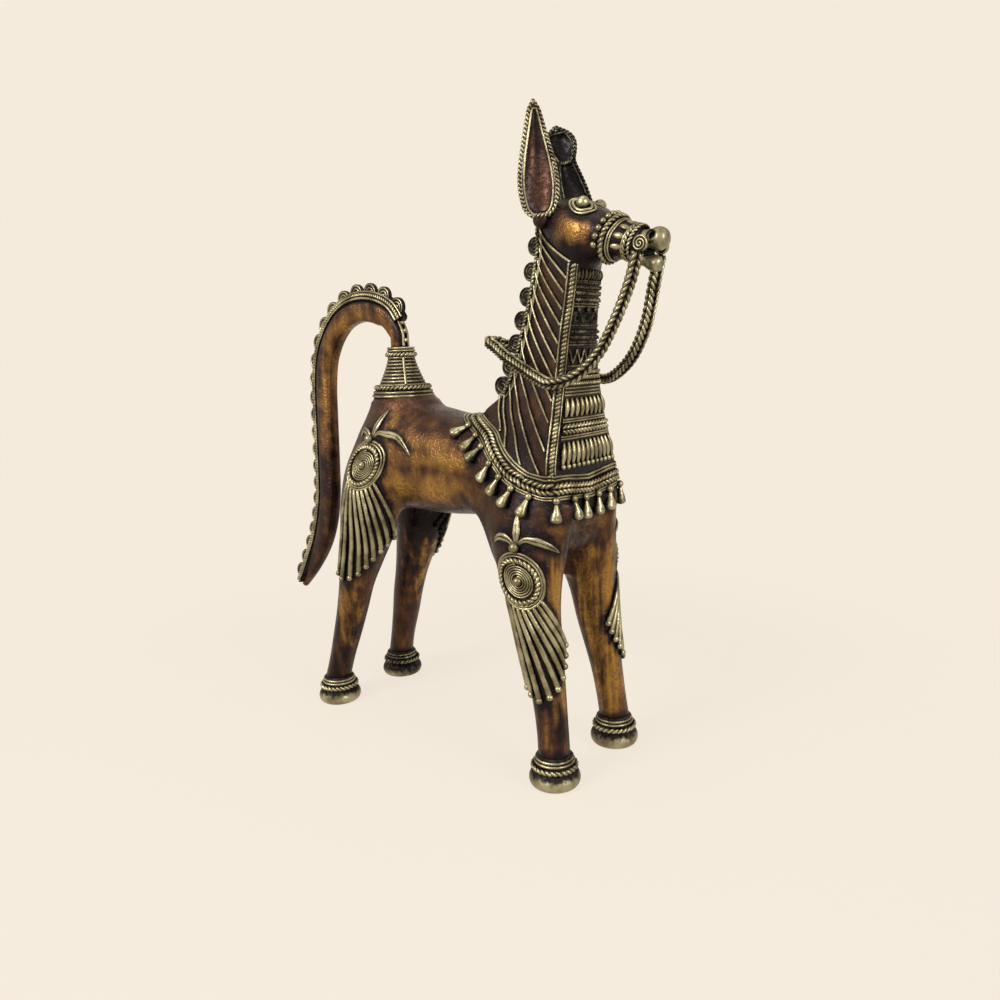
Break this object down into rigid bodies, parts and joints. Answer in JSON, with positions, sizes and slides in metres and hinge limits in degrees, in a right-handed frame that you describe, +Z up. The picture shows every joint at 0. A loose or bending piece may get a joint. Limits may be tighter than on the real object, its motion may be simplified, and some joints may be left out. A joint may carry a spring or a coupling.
{
  "type": "brass horse figurine",
  "caption": "Standing dhokra horse figure in lost-wax brass: wedge neck with thread ornament, braided reins, pendant collar, leg medallions and an arched crested tail, for table display.",
  "frame": {"origin": "centre of the overall box at floor level, under the hooves", "axes": "+X towards the nose, +Y towards the horse's left, +Z up"},
  "size_m": [0.254, 0.0772, 0.3051],
  "materials": {
    "patina": "dark brown patina with rubbed golden patches",
    "brass": "pale rubbed brass with dark recesses",
    "clay": "fired clay, rough and matte"
  },
  "bodies": {
    "root": {"bit_rosette_left": "brass", "bit_rosette_right": "brass", "body_casting": "patina", "breast_braid": "brass", "breast_fringe": "brass", "breast_rings": "brass", "breast_rods_lower": "brass", "breast_rods_upper": "brass", "breast_ropes_lower": "brass", "breast_ropes_middle": "brass", "breast_ropes_upper": "brass", "breast_zigzag": "brass", "clay_core": "clay", "collar_border": "brass", "collar_braid": "brass", "collar_pendants": "brass", "corner_cord_left": "brass", "corner_cord_right": "brass", "ear_left": "patina", "ear_right": "patina", "ear_rim_left": "brass", "ear_rim_right": "brass", "eye_left": "brass", "eye_right": "brass", "hoof_front_left": "brass", "hoof_front_right": "brass", "hoof_rear_left": "brass", "hoof_rear_right": "brass", "lower_lip": "brass", "mane_cord_left": "brass", "mane_cord_right": "brass", "mane_scroll_1": "brass", "mane_scroll_2": "brass", "mane_scroll_3": "brass", "mane_scroll_4": "brass", "mane_scroll_5": "brass", "mane_scroll_6": "brass", "mane_scroll_7": "brass", "medallion_front_left": "brass", "medallion_front_right": "brass", "medallion_rear_left": "brass", "medallion_rear_right": "brass", "muzzle_ring": "brass", "neck_threads_left": "brass", "neck_threads_right": "brass", "nose": "brass", "noseband_beads": "brass", "noseband_rope": "brass", "ray_fan_front_left": "brass", "ray_fan_front_right": "brass", "ray_fan_rear_left": "brass", "ray_fan_rear_right": "brass", "reins": "brass", "sprig_front_left": "brass", "sprig_front_right": "brass", "sprig_rear_left": "brass", "sprig_rear_right": "brass", "tail": "patina", "tail_crest": "brass", "tail_socket": "brass"}
  },
  "joints": []
}
